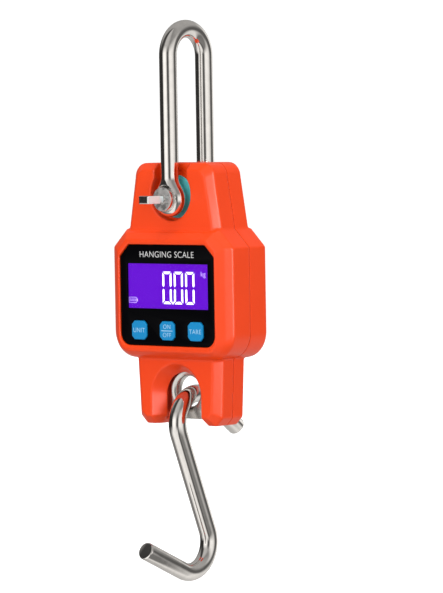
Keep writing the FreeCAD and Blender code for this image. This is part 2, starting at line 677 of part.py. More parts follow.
for number, (across, up) in enumerate(BOARD_SCREWS):
    screw = doc.addObject("Part::Fuse", f"board_screw_{number}")
    screw.Base = rod(f"board_screw_shank_{number}", across, "board_back", up, "board_screw_r",
                     "bay_face-board_back")
    screw.Tool = rod(f"board_screw_head_{number}", across, "board_back-board_screw_head", up,
                     "board_screw_head_r", "board_screw_head")
    board_fixings.append(screw)
join("board_screws", board_fixings)


# ---- load cell and bushes ------------------------------------------------------------------
cell = new_body("load_cell")
pad(cell, "bar", cut_outline("cell_half", "cell_top", "-cell_low", "cell_cut"), "-cell_eye_thick/2",
    "cell_eye_thick")
pad(cell, "spring_part", box_outline("cell_half", "-cell_slot_up+8", "-cell_slot_low-8"), "-cell_thick/2",
    "cell_thick")
pocket(cell, "pin_eye", [disc("0", "0", "bush_r+pin_gap")], "-cell_thick", "2*cell_thick")
pocket(cell, "spring_window", box_outline("cell_slot_half", "-cell_slot_up", "-cell_slot_low"),
       "-cell_thick", "2*cell_thick")
pocket(cell, "hook_eye", [disc("0", "-cell_eye_low", "cell_eye_r")], "-cell_thick", "2*cell_thick")
rim_edges = [
    f"Edge{number}" for number, edge in enumerate(cell.Tip.Shape.Edges, 1)
    if hasattr(edge.Curve, "Radius") and abs(edge.Curve.Radius - value("cell_eye_r")) < 1e-6
    and abs(edge.Curve.Center.z + value("cell_eye_low")) < 1e-6 and len(edge.Vertexes) == 1
]
rounding = cell.newObject("PartDesign::Fillet", "hook_eye_rim")
rounding.Base = (cell.getObject("hook_eye"), rim_edges)
rounding.setExpression("Radius", sheet("cell_rim"))
doc.recompute()

GAUGE_AT = "(cell_half+cell_slot_half)/2"
join("strain_gauges", [
    bar(f"gauge_{number}", side, front_at, "-(cell_slot_up+cell_slot_low)/2", "gauge_wide", "gauge_thick",
        "gauge_tall")
    for number, (side, front_at) in enumerate((
        (f"-{GAUGE_AT}", "cell_thick/2"), (GAUGE_AT, "cell_thick/2"),
        (f"-{GAUGE_AT}", "-cell_thick/2-gauge_thick"), (GAUGE_AT, "-cell_thick/2-gauge_thick")))])
terminals = new_body("terminal_strip")
pad(terminals, "strip", rectangle(
    "-cell_half+1", "-cell_half+1+terminal_wide", "-cell_slot_low-terminal_drop",
    "-cell_slot_low-terminal_drop-terminal_tall"), "cell_thick/2", "terminal_thick")
lead = new_body("sensor_lead")
LEAD_FRONT = "cell_thick/2+terminal_thick/2"
LEAD_LEVEL = "-cell_slot_low-terminal_drop-terminal_tall/2"
LEAD_TURN = "(-cell_half-lead_bend/2)"
route = new_sketch(lead, "lead_route", "XZ_Plane", LEAD_FRONT)
draw(route, [
    ("-cell_half+1", LEAD_LEVEL),
    (LEAD_TURN, LEAD_LEVEL, LEAD_TURN, f"{LEAD_LEVEL}+lead_bend"),
    (f"{LEAD_TURN}-lead_bend", f"{LEAD_LEVEL}+lead_bend"),
    (f"{LEAD_TURN}-lead_bend", "-bay_up-26"),
], closed=False)
section = new_sketch(lead, "lead_section", "YZ_Plane", "-cell_half+1")
circle(section, f"-({LEAD_FRONT})", LEAD_LEVEL, "lead_r")
doc.recompute()
tube = lead.newObject("PartDesign::AdditivePipe", "lead_tube")
tube.Profile = section
tube.Spine = route
doc.recompute()

for name, sign in (("bush_front", ""), ("bush_rear", "-")):
    bush = new_body(name)
    ahead = sign == ""
    reach = lambda start, length: (start, length) if ahead else (f"-({start})-({length})", length)
    pad(bush, "barrel", [disc("0", "0", "bush_r")], *reach("face_gap", "well_floor-face_gap"))
    pad(bush, "flange", [disc("0", "flange_up", "flange_r")], *reach("well_floor", "bush_lip"))
    pocket(bush, "bore", [disc("0", "0", "pin_r+pin_gap")], *reach("0-1", "cut_over"))


# ---- hook ----------------------------------------------------------------------------------
# A bent rod in the plane of the shackle: the upper bend hangs in the load cell's lower eye, the
# shank leans back, and the lower bend carries the load.
hook = new_body("weighing_hook")
TOP_Y = "hook_back"
TOP_Z = "-hook_down"
LOW_Y = "(hook_back+hook_shank*sin(hook_lean)-2*hook_bend_r*cos(hook_lean))"
LOW_Z = "(-hook_down-hook_shank*cos(hook_lean)-2*hook_bend_r*sin(hook_lean))"


def turned(text):
    """The angles in an expression, in degrees."""
    return re.sub(r"(sin|cos)\(([a-z_]+)\)", r"\1(\2*1 deg)", text)


def at_angle(centre_y, centre_z, dy, dz):
    return turned(f"{centre_y}+({dy})"), turned(f"{centre_z}+({dz})")


crown = (TOP_Y, f"{TOP_Z}+hook_bend_r")
tail_joint = at_angle(TOP_Y, TOP_Z, "hook_bend_r*sin(hook_tail_dip)", "hook_bend_r*cos(hook_tail_dip)")
tail_end = at_angle(*tail_joint, "hook_tail*cos(hook_tail_dip)", "-hook_tail*sin(hook_tail_dip)")
shank_top = at_angle(TOP_Y, TOP_Z, "-hook_bend_r*cos(hook_lean)", "-hook_bend_r*sin(hook_lean)")
shank_end = at_angle(LOW_Y, LOW_Z, "hook_bend_r*cos(hook_lean)", "hook_bend_r*sin(hook_lean)")
tip_joint = at_angle(LOW_Y, LOW_Z, "-hook_bend_r*sin(hook_tip_rise)", "-hook_bend_r*cos(hook_tip_rise)")
tip_end = at_angle(tip_joint[0], tip_joint[1], "-hook_tip*cos(hook_tip_rise)", "hook_tip*sin(hook_tip_rise)")
section = new_sketch(hook, "rod_section", "XZ_Plane", f"-{TOP_Y}")
circle(section, "0", crown[1], "hook_rod_r")
back_route = new_sketch(hook, "back_route", "YZ_Plane")
draw(back_route, [crown + (TOP_Y, TOP_Z), tail_joint, tail_end], closed=False)
load_route = new_sketch(hook, "load_route", "YZ_Plane")
draw(load_route, [
    crown + (TOP_Y, TOP_Z), shank_top, shank_end + (turned(LOW_Y), turned(LOW_Z)), tip_joint, tip_end,
], closed=False)
doc.recompute()
for name, route in (("back_rod", back_route), ("load_rod", load_route)):
    pipe = hook.newObject("PartDesign::AdditivePipe", name)
    pipe.Profile = section
    pipe.Spine = route
    doc.recompute()


# ---- batteries -----------------------------------------------------------------------------
ROWS = [f"-battery_level+({step})*{BATTERY_PITCH}" for step in (1, 0, -1)]
BATTERY_BACK = "battery_floor+battery_r+door_gap/2"
join("battery_cells", [
    cross_rod(f"battery_cell_{number}", "-battery_long/2-plate_thick", f"-({BATTERY_BACK})", up,
              "battery_r", "battery_long")
    for number, up in enumerate(ROWS)])
join("battery_springs", [
    cross_rod(f"battery_spring_{number}", "battery_long/2-plate_thick", f"-({BATTERY_BACK})", up, "spring_r",
              "pit_half-battery_long/2")
    for number, up in enumerate(ROWS)])
join("battery_plates", [
    bar(f"battery_plate_{side}", f"{sign}(pit_half-plate_thick/2)", "-battery_floor-plate_wide-2*door_gap",
        "-battery_level", "plate_thick", "plate_wide", f"{PIT_TALL}-2*pit_over")
    for side, sign in (("left", "-"), ("right", ""))])
door = new_body("battery_door")
pad(door, "panel", box_outline("door_half", f"{PIT_UP}+door_over", "-wide_low+door_low"), f"-{REAR_FACE}",
    "door_thick")


# ---- checks and files ----------------------------------------------------------------------
doc.recompute()
for thing in doc.Objects:
    if "Invalid" in thing.State or "Error" in thing.State:
        raise RuntimeError(f"{thing.Label} failed: {thing.State}")
os.makedirs("parts", exist_ok=True)
for piece in PIECES:
    shape = piece.Shape
    if shape.isNull() or not shape.isValid() or not shape.Solids:
        raise RuntimeError(f"{piece.Label} has no good shape")
    shape.exportStep(f"parts/{piece.Label}.step")
    box = shape.BoundBox
    print(f"{piece.Label}: {len(shape.Solids)} solid(s), {shape.Volume:.0f} mm3, x {box.XMin:.1f} to "
          f"{box.XMax:.1f}, y {box.YMin:.1f} to {box.YMax:.1f}, z {box.ZMin:.1f} to {box.ZMax:.1f}")
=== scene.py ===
import math

import bmesh
import bpy
from mathutils import Matrix, Vector


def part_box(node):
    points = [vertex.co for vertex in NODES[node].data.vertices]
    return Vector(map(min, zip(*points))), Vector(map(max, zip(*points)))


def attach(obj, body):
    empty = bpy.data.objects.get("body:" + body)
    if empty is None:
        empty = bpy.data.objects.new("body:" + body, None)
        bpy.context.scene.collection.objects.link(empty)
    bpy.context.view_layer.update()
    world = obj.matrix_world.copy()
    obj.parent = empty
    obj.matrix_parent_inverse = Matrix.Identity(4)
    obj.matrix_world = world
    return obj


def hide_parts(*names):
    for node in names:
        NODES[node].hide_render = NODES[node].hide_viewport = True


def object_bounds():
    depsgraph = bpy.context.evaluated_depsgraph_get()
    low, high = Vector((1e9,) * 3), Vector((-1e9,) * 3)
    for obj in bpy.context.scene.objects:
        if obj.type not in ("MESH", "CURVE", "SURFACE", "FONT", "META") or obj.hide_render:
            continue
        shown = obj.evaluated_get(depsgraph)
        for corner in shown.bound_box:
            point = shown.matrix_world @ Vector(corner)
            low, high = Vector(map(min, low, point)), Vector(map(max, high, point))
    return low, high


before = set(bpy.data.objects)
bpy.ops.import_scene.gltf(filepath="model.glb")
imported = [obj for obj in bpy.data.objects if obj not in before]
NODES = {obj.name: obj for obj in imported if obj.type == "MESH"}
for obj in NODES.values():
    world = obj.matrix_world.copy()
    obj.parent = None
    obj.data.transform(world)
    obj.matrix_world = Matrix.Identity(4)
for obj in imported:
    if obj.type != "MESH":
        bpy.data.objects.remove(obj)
cad_low, cad_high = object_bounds()


# ---- studio --------------------------------------------------------------------------------
# A white sweep behind and under the scale, which hangs just clear of it, soft boxes round it,
# and a room that is bright in front and dark behind, so that polished steel shows its shape.
MM = 0.001
VIEW_AZIMUTH = math.radians(40.67)
VIEW_DROP = math.radians(2.77)
VIEW_ROLL = math.radians(0.934)
VIEW_DISTANCE = 1.787
VIEW_TARGET = Vector((0.0191, 0.0, -0.1181))
LENS = 238.4
FAR_CLIP = 30


def add_object(name, data):
    made = bpy.data.objects.new(name, data)
    bpy.context.scene.collection.objects.link(made)
    return made


def from_bmesh(name, bm):
    made = add_object(name, bpy.data.meshes.new(name))
    bm.to_mesh(made.data)
    bm.free()
    return made


look = Vector((-math.sin(VIEW_AZIMUTH) * math.cos(VIEW_DROP),
               math.cos(VIEW_AZIMUTH) * math.cos(VIEW_DROP), -math.sin(VIEW_DROP)))
level = Vector((math.cos(VIEW_AZIMUTH), math.sin(VIEW_AZIMUTH), 0))
upright = level.cross(look)
right = level * math.cos(VIEW_ROLL) - upright * math.sin(VIEW_ROLL)
above = level * math.sin(VIEW_ROLL) + upright * math.cos(VIEW_ROLL)
camera = add_object("camera", bpy.data.cameras.new("camera"))
camera.data.lens = LENS
camera.data.clip_end = FAR_CLIP
axes = Matrix((right, above, -look)).transposed().to_4x4()
camera.matrix_world = Matrix.Translation(VIEW_TARGET - look * VIEW_DISTANCE) @ axes
bpy.context.scene.camera = camera
bpy.context.scene.view_settings.view_transform = "Standard"


def new_material(name, **inputs):
    """A Principled material, its named inputs set directly."""
    made = bpy.data.materials.new(name)
    made.use_nodes = True
    shader = made.node_tree.nodes["Principled BSDF"]
    for key, setting in inputs.items():
        shader.inputs[key.replace("_", " ")].default_value = setting
    return made


FLOOR_LEVEL = cad_low.z - 4 * MM
SWEEP_HALF = 6.0
SWEEP_BACK = 2.6
SWEEP_FRONT = -4.0
SWEEP_TURN = 1.2
SWEEP_TOP = 4.0
SWEEP_STEPS = 12
SWEEP_GLOW = 0.42
sweep_path = [(SWEEP_FRONT, 0.0)]
for step in range(SWEEP_STEPS + 1):
    angle = math.pi / 2 * step / SWEEP_STEPS
    sweep_path.append((SWEEP_BACK + SWEEP_TURN * math.sin(angle), SWEEP_TURN * (1 - math.cos(angle))))
sweep_path.append((SWEEP_BACK + SWEEP_TURN, SWEEP_TOP))
bm = bmesh.new()
rows = []
for along, height in sweep_path:
    middle = Vector((look.x, look.y, 0)).normalized() * along + Vector((0, 0, FLOOR_LEVEL + height))
    rows.append([bm.verts.new(middle + level * side) for side in (-SWEEP_HALF, SWEEP_HALF)])
for first, second in zip(rows, rows[1:]):
    bm.faces.new((first[0], first[1], second[1], second[0]))
sweep = from_bmesh("sweep", bm)
sweep.data.shade_smooth()
sweep.data.materials.append(new_material(
    "sweep_paper", Base_Color=(0.93, 0.93, 0.93, 1), Roughness=1.0, Emission_Color=(1, 1, 1, 1),
    Emission_Strength=SWEEP_GLOW))
sweep.visible_glossy = False
sweep.visible_diffuse = False

CASE_MIDDLE = Vector((0, 0, -0.12))


def soft_box(name, azimuth, height, distance, width, tall, power, mirrored=False):
    """A rectangular light that looks at the middle of the case, seen in gloss alone if mirrored."""
    data = bpy.data.lights.new(name, "AREA")
    data.shape = "RECTANGLE"
    data.size = width
    data.size_y = tall
    data.energy = power
    made = add_object(name, data)
    angle = math.radians(azimuth)
    made.location = CASE_MIDDLE + Vector((math.sin(angle) * distance, -math.cos(angle) * distance, height))
    made.rotation_euler = (made.location - CASE_MIDDLE).to_track_quat("Z", "Y").to_euler()
    made.visible_glossy = mirrored
    made.visible_diffuse = not mirrored
    made.visible_camera = False
    return made


soft_box("front_box", azimuth=-5, height=0.6, distance=1.6, width=0.9, tall=1.4, power=9.5)
soft_box("side_box", azimuth=66, height=0.2, distance=1.6, width=0.5, tall=1.5, power=13)
gleam = soft_box("side_gleam", azimuth=60, height=0.2, distance=1.6, width=0.5, tall=1.5, power=24,
                 mirrored=True)
soft_box("rear_box", azimuth=205, height=0.8, distance=1.6, width=0.9, tall=1.2, power=6)
soft_box("top_box", azimuth=35, height=1.6, distance=0.4, width=1.0, tall=1.0, power=8)

# The room that polished steel mirrors, at eye level, below and above: azimuth in degrees and brightness.
LEVEL_BANDS = (
    (-180, 1.0), (-158, 0.8), (-150, 0.08), (-140, 0.30), (-95, 0.03), (-33, 0.03), (-27, 0.9), (-12, 1.2),
    (8, 1.15), (20, 0.8), (26, 0.10), (46, 0.10), (54, 0.7), (62, 1.05), (88, 1.0), (112, 0.75), (126, 0.12),
    (160, 0.10), (170, 1.0), (180, 1.0),
)
FLOOR_BANDS = (
    (-180, 0.7), (-100, 0.4), (-70, 0.10), (-50, 0.6), (-30, 1.0), (34, 0.9), (44, 0.10), (54, 0.12),
    (66, 0.22), (120, 0.18), (140, 0.85), (180, 0.7),
)
CEILING_BANDS = (
    (-180, 0.4), (-75, 0.35), (-58, 0.05), (-28, 0.05), (-10, 0.55), (30, 0.5), (60, 0.25), (110, 0.38),
    (180, 0.4),
)
FLOOR_FROM, FLOOR_FULL = -0.12, -0.40
CEILING_FROM, CEILING_FULL = 0.15, 0.5
WARMTH = (1.0, 0.975, 0.94)
ROOM_LIGHT = 0.68
world = bpy.data.worlds.new("studio")
bpy.context.scene.world = world
world.use_nodes = True
tree = world.node_tree
tree.nodes.clear()


def link(tree, node, output, target, entry):
    tree.links.new(node.outputs[output], target.inputs[entry])


def math_node(tree, operation, first, second=None):
    """A Math node; its inputs are numbers or (node, output) pairs."""
    made = tree.nodes.new("ShaderNodeMath")
    made.operation = operation
    for entry, given in enumerate((first, second)):
        if given is None:
            continue
        if isinstance(given, tuple):
            link(tree, given[0], given[1], made, entry)
        else:
            made.inputs[entry].default_value = given
    return made


place = tree.nodes.new("ShaderNodeTexCoord")
split = tree.nodes.new("ShaderNodeSeparateXYZ")
link(tree, place, "Generated", split, 0)
toward = math_node(tree, "MULTIPLY", (split, "Y"), -1.0)
azimuth = math_node(tree, "ARCTAN2", (split, "X"), (toward, 0))
turn = math_node(tree, "MULTIPLY_ADD", (azimuth, 0), 1 / (2 * math.pi))
turn.inputs[2].default_value = 0.5


def banded(bands):
    """A colour ramp round the room's azimuth."""
    ramp = tree.nodes.new("ShaderNodeValToRGB")
    link(tree, turn, 0, ramp, 0)
    while len(ramp.color_ramp.elements) > 1:
        ramp.color_ramp.elements.remove(ramp.color_ramp.elements[-1])
    for number, (degrees, glow) in enumerate(bands):
        spot = degrees / 360 + 0.5
        stop = ramp.color_ramp.elements[0] if number == 0 else ramp.color_ramp.elements.new(spot)
        stop.position = spot
        stop.color = (glow * WARMTH[0], glow * WARMTH[1], glow * WARMTH[2], 1)
    return ramp


around = banded(LEVEL_BANDS)
for low, high, bands in ((FLOOR_FROM, FLOOR_FULL, FLOOR_BANDS), (CEILING_FROM, CEILING_FULL, CEILING_BANDS)):
    rise = tree.nodes.new("ShaderNodeMapRange")
    link(tree, split, "Z", rise, "Value")
    rise.inputs["From Min"].default_value = low
    rise.inputs["From Max"].default_value = high
    layer = tree.nodes.new("ShaderNodeMixRGB")
    link(tree, rise, 0, layer, 0)
    link(tree, around, 0, layer, 1)
    link(tree, banded(bands), 0, layer, 2)
    around = layer
mirror = tree.nodes.new("ShaderNodeBackground")
link(tree, around, 0, mirror, "Color")
room = tree.nodes.new("ShaderNodeBackground")
room.inputs["Color"].default_value = (1, 1, 1, 1)
room.inputs["Strength"].default_value = ROOM_LIGHT
paths = tree.nodes.new("ShaderNodeLightPath")
pick = tree.nodes.new("ShaderNodeMixShader")
link(tree, paths, "Is Glossy Ray", pick, 0)
link(tree, room, 0, pick, 1)
link(tree, mirror, 0, pick, 2)
backdrop = tree.nodes.new("ShaderNodeBackground")
backdrop.inputs["Color"].default_value = (1, 1, 1, 1)
seen = tree.nodes.new("ShaderNodeMixShader")
link(tree, paths, "Is Camera Ray", seen, 0)
link(tree, pick, 0, seen, 1)
link(tree, backdrop, 0, seen, 2)
out = tree.nodes.new("ShaderNodeOutputWorld")
link(tree, seen, 0, out, "Surface")


def new_group(name, inputs, outputs):
    """An empty shader node group with named sockets: (name, type, default) and (name, type)."""
    group = bpy.data.node_groups.new(name, "ShaderNodeTree")
    for label, kind, default in inputs:
        socket = group.interface.new_socket(label, in_out="INPUT", socket_type=kind)
        socket.default_value = default
    for label, kind in outputs:
        group.interface.new_socket(label, in_out="OUTPUT", socket_type=kind)
    return group, group.nodes.new("NodeGroupInput"), group.nodes.new("NodeGroupOutput")


def place_group(made, group, **settings):
    node = made.node_tree.nodes.new("ShaderNodeGroup")
    node.node_tree = group
    for key, setting in settings.items():
        node.inputs[key.replace("_", " ")].default_value = setting
    return node


# Spark-eroded grain of a moulding: fine bumps and a little unevenness in its shine and colour.
GRAIN_RISE = 0.04 * MM
UNEVEN_SCALE = 90.0
grain, grain_in, grain_out = new_group(
    "moulded_grain",
    [("Color", "NodeSocketColor", (0.5, 0.5, 0.5, 1)), ("Scale", "NodeSocketFloat", 4000.0),
     ("Depth", "NodeSocketFloat", 0.1), ("Roughness", "NodeSocketFloat", 0.4),
     ("Unevenness", "NodeSocketFloat", 0.08)],
    [("Color", "NodeSocketColor"), ("Roughness", "NodeSocketFloat"), ("Normal", "NodeSocketVector")])
spot = grain.nodes.new("ShaderNodeTexCoord")
fine = grain.nodes.new("ShaderNodeTexNoise")
fine.inputs["Detail"].default_value = 2.0
link(grain, spot, "Object", fine, "Vector")
link(grain, grain_in, "Scale", fine, "Scale")
bump = grain.nodes.new("ShaderNodeBump")
bump.inputs["Distance"].default_value = GRAIN_RISE
link(grain, grain_in, "Depth", bump, "Strength")
link(grain, fine, 0, bump, "Height")
broad = grain.nodes.new("ShaderNodeTexNoise")
broad.inputs["Scale"].default_value = UNEVEN_SCALE
broad.inputs["Detail"].default_value = 3.0
link(grain, spot, "Object", broad, "Vector")
swing = math_node(grain, "SUBTRACT", (broad, 0), 0.5)
amount = math_node(grain, "MULTIPLY", (swing, 0), (grain_in, "Unevenness"))
shine = math_node(grain, "ADD", (amount, 0), (grain_in, "Roughness"))
tint = grain.nodes.new("ShaderNodeHueSaturation")
brightness = math_node(grain, "ADD", (amount, 0), 1.0)
link(grain, brightness, 0, tint, "Value")
link(grain, grain_in, "Color", tint, "Color")
link(grain, tint, 0, grain_out, "Color")
link(grain, shine, 0, grain_out, "Roughness")
link(grain, bump, 0, grain_out, "Normal")


def finish_with(made, group, color, **settings):
    """Feeds a material's colour, roughness and normal from one of the groups above."""
    shader = made.node_tree.nodes["Principled BSDF"]
    node = place_group(made, group, Color=(*color, 1), **settings)
    link(made.node_tree, node, "Color", shader, "Base Color")
    link(made.node_tree, node, "Roughness", shader, "Roughness")
    link(made.node_tree, node, "Normal", shader, "Normal")
    return made


def plastic(name, color, roughness=0.4, depth=0.12, scale=4000.0, unevenness=0.06, **inputs):
    return finish_with(new_material(name, **inputs), grain, color, Roughness=roughness, Depth=depth,
                       Scale=scale, Unevenness=unevenness)


def dress(made, material, angle=35):
    """One material all over, smooth apart from edges sharper than the angle."""
    made.data.materials.clear()
    made.data.materials.append(material)
    made.data.shade_smooth()
    made.data.set_sharp_from_angle(angle=math.radians(angle))
    return made


def modified(made):
    """Applies an object's modifiers."""
    graph = bpy.context.evaluated_depsgraph_get()
    mesh = bpy.data.meshes.new_from_object(made.evaluated_get(graph))
    made.modifiers.clear()
    made.data = mesh
    return made


def softened(node, name, voxel, rounds, faces, keep=None, pressed=None):
    """Stands for a CAD node with its edges softened: the same solid on an even mesh of `voxel` mm,
    pressed in along y, smoothed `rounds` times apart from the corners for which keep is true, then
    thinned."""
    made = add_object(name, NODES[node].data.copy())
    even = made.modifiers.new("even", "REMESH")
    even.mode = "VOXEL"
    even.voxel_size = voxel * MM
    modified(made)
    bm = bmesh.new()
    bm.from_mesh(made.data)
    for vertex in bm.verts:
        vertex.co.y -= pressed(vertex.co) if pressed else 0
    loose = [vertex for vertex in bm.verts if not (keep and keep(vertex.co))]
    for _ in range(rounds):
        bmesh.ops.smooth_vert(bm, verts=loose, factor=0.5, use_axis_x=True, use_axis_y=True, use_axis_z=True)
    bm.to_mesh(made.data)
    bm.free()
    thin = made.modifiers.new("thin", "DECIMATE")
    thin.ratio = min(1.0, faces / len(made.data.polygons) / 2)
    modified(made)
    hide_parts(node)
    return made


ORANGE = (0.875, 0.056, 0.003)
orange = plastic("orange_abs", ORANGE, roughness=0.33, depth=0.10, scale=5200, Specular_IOR_Level=0.42)
# The faces along the parting line get a darker, rougher orange: the darker colour is painted shade in the
# gap between the shells.
SEAM_SHADE_ORANGE = (0.62, 0.034, 0.002)
SEAM_HALF = 0.45 * MM
seam = plastic("orange_abs_seam_shade", SEAM_SHADE_ORANGE, roughness=0.75, depth=0.10, scale=5200,
               Specular_IOR_Level=0.1)
gleaming = bpy.data.collections.new("gleaming")
gleam.light_linking.receiver_collection = gleaming


def on_parting(corner):
    return abs(corner.y) < SEAM_HALF


for node in ("front_shell", "rear_shell"):
    shell = softened(node, node + "_moulding", voxel=0.4, rounds=6, faces=60000, keep=on_parting)
    dress(shell, orange, angle=60)
    shell.data.materials.append(seam)
    # Faces lying on the parting line take the orange with painted shade.
    for face in shell.data.polygons:
        if all(on_parting(shell.data.vertices[corner].co) for corner in face.vertices):
            face.material_index = 1
    gleaming.objects.link(shell)
    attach(shell, "scale_body")


# ---- battery door --------------------------------------------------------------------------
# A flat moulding in the same orange, which slides down off the rear. Shallow grooves across its
# upper part give the thumb a grip.
door_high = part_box("battery_door")[1]
GRIP_PITCH = 2.2 * MM
GRIP_GROOVES = 5
GRIP_HALF = 9.0 * MM
GRIP_DEEP = 0.45 * MM
GRIP_TOP = door_high.z - 5.0 * MM
GRIP_SKIN = 0.3 * MM


def grip(corner):
    """Depth of the thumb grip's grooves across the upper part of the door's outer face."""
    down = (GRIP_TOP - corner.z) / GRIP_PITCH
    if corner.y < door_high.y - GRIP_SKIN or abs(corner.x) > GRIP_HALF or not 0 < down < GRIP_GROOVES:
        return 0.0
    return GRIP_DEEP * (0.5 - 0.5 * math.cos(2 * math.pi * down))


door = softened("battery_door", "battery_door_moulding", voxel=0.35, rounds=2, faces=16000, pressed=grip)
dress(door, orange, angle=60)
gleaming.objects.link(door)
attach(door, "door")


# ---- shackle -------------------------------------------------------------------------------
# Stainless steel rod, bent into a bow and forged to a flat-faced eye at the end of each leg, then
# tumbled and belt polished. The front eye has a spot face for the washer.

# Marks of the polishing belt along a bent rod, with a faint cloudiness.
BELT_RISE = 0.02 * MM
BELT_STRETCH = (2600, 2600, 160)
CLOUD_SCALE = 320.0
polish, polish_in, polish_out = new_group(
    "polish_marks",
    [("Color", "NodeSocketColor", (0.7, 0.7, 0.7, 1)), ("Depth", "NodeSocketFloat", 0.1),
     ("Roughness", "NodeSocketFloat", 0.15), ("Cloud", "NodeSocketFloat", 0.1)],
    [("Color", "NodeSocketColor"), ("Roughness", "NodeSocketFloat"), ("Normal", "NodeSocketVector")])
spot = polish.nodes.new("ShaderNodeTexCoord")
stretch = polish.nodes.new("ShaderNodeMapping")
stretch.inputs["Scale"].default_value = BELT_STRETCH
link(polish, spot, "Object", stretch, "Vector")
lines = polish.nodes.new("ShaderNodeTexNoise")
lines.inputs["Scale"].default_value = 1.0
lines.inputs["Detail"].default_value = 4.0
link(polish, stretch, 0, lines, "Vector")
bump = polish.nodes.new("ShaderNodeBump")
bump.inputs["Distance"].default_value = BELT_RISE
link(polish, polish_in, "Depth", bump, "Strength")
link(polish, lines, 0, bump, "Height")
cloud = polish.nodes.new("ShaderNodeTexNoise")
cloud.inputs["Scale"].default_value = CLOUD_SCALE
cloud.inputs["Detail"].default_value = 5.0
link(polish, spot, "Object", cloud, "Vector")
swing = math_node(polish, "SUBTRACT", (cloud, 0), 0.5)
amount = math_node(polish, "MULTIPLY", (swing, 0), (polish_in, "Cloud"))
shine = math_node(polish, "ADD", (amount, 0), (polish_in, "Roughness"))
tint = polish.nodes.new("ShaderNodeHueSaturation")
brightness = math_node(polish, "ADD", (amount, 0), 1.0)
link(polish, brightness, 0, tint, "Value")
link(polish, polish_in, "Color", tint, "Color")
link(polish, tint, 0, polish_out, "Color")
link(polish, shine, 0, polish_out, "Roughness")
link(polish, bump, 0, polish_out, "Normal")


def metal(name, color, roughness=0.14, depth=0.08, cloud=0.08, bare=1.0):
    return finish_with(new_material(name, Metallic=bare), polish, color, Roughness=roughness,
                       Depth=depth, Cloud=cloud)


steel = metal("polished_stainless", (0.86, 0.84, 0.82), roughness=0.085, depth=0.015, cloud=0.25)
bow_low, bow_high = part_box("shackle_bow")
washer_low, washer_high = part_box("pin_washer")
ROD_R = bow_high.z / 2
EYE_R = bow_high.x
EYE_HALF = 4.15 * MM
EYE_ROUND = 4.05 * MM
BEND_R = bow_high.y - EYE_HALF
BEND_LEVEL = bow_high.z - ROD_R - BEND_R
PIN_LEVEL = (washer_low.z + washer_high.z) / 2
BORE_R = 4.07 * MM
SPOT_R = washer_high.x + 0.15 * MM
SPOT_LEVEL = washer_high.y + 0.15 * MM
FORGED_REACH = 3.2 * MM
SETTLING_ROUNDS = 4
LEAST_SLOPE = 0.1
SHARP_TURN = 0.8


def forging(point):
    """Distance from a point to the shackle's surface, with each leg flowing into its eye."""
    if point.z > BEND_LEVEL:
        return math.hypot(point.x, math.hypot(point.y, point.z - BEND_LEVEL) - BEND_R) - ROD_R
    along = abs(point.y) - BEND_R
    drop = point.z - PIN_LEVEL
    around = math.hypot(point.x, drop)
    rod = max(math.hypot(point.x, along) - ROD_R, -drop)
    out = max(around - EYE_R + EYE_ROUND, 0)
    off = max(abs(along) - EYE_HALF + EYE_ROUND, 0)
    eye = math.hypot(out, off) - EYE_ROUND
    reach = max(FORGED_REACH - abs(rod - eye), 0) / FORGED_REACH
    blended = min(rod, eye) - reach * reach * FORGED_REACH / 4
    blended = max(blended, abs(along) - EYE_HALF, BORE_R - around)
    return max(blended, min(SPOT_R - around, SPOT_LEVEL - point.y)) if point.y < 0 else blended


def slope(point, step=0.00005):
    ways = (Vector((step, 0, 0)), Vector((0, step, 0)), Vector((0, 0, step)))
    return Vector([forging(point + way) - forging(point - way) for way in ways]) / (2 * step)


shackle = softened("shackle_bow", "shackle_forging", voxel=0.45, rounds=0, faces=200000)
for vertex in shackle.data.vertices:
    for _ in range(SETTLING_ROUNDS):
        lean = slope(vertex.co)
        if lean.length > LEAST_SLOPE:
            vertex.co -= lean * (forging(vertex.co) / lean.length_squared)
dress(shackle, steel, angle=60)
leans = [slope(vertex.co).normalized() for vertex in shackle.data.vertices]
facing = []
for face in shackle.data.polygons:
    for corner in face.vertices:
        facing.append(leans[corner] if leans[corner].dot(face.normal) > SHARP_TURN else face.normal.copy())
shackle.data.normals_split_custom_set(facing)
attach(shackle, "shackle")


# ---- hook and washer -----------------------------------------------------------------------
# The hook is bent from the same polished rod, cut square at both ends and deburred. The washer
# is stamped from sheet and lies under the pin's collar.
def rimmed(node, name, body, material, width, sharp=50):
    """Stands for a CAD node with its sharp edges rounded by `width` mm."""
    bm = bmesh.new()
    bm.from_mesh(NODES[node].data)
    bmesh.ops.remove_doubles(bm, verts=bm.verts, dist=0.00001)
    bmesh.ops.dissolve_limit(bm, angle_limit=math.radians(0.5), verts=bm.verts, edges=bm.edges)
    edges = [edge for edge in bm.edges
             if len(edge.link_faces) == 2 and edge.calc_face_angle() > math.radians(sharp)]
    bmesh.ops.bevel(bm, geom=edges, offset=width * MM, segments=3, profile=0.5, affect="EDGES",
                    clamp_overlap=True)
    made = from_bmesh(name, bm)
    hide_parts(node)
    dress(made, material, angle=40)
    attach(made, body)
    return made


rimmed("weighing_hook", "hook_rod", "hook", steel, width=0.7)
rimmed("pin_washer", "pin_washer_ring", "pin_carrier", steel, width=0.15)
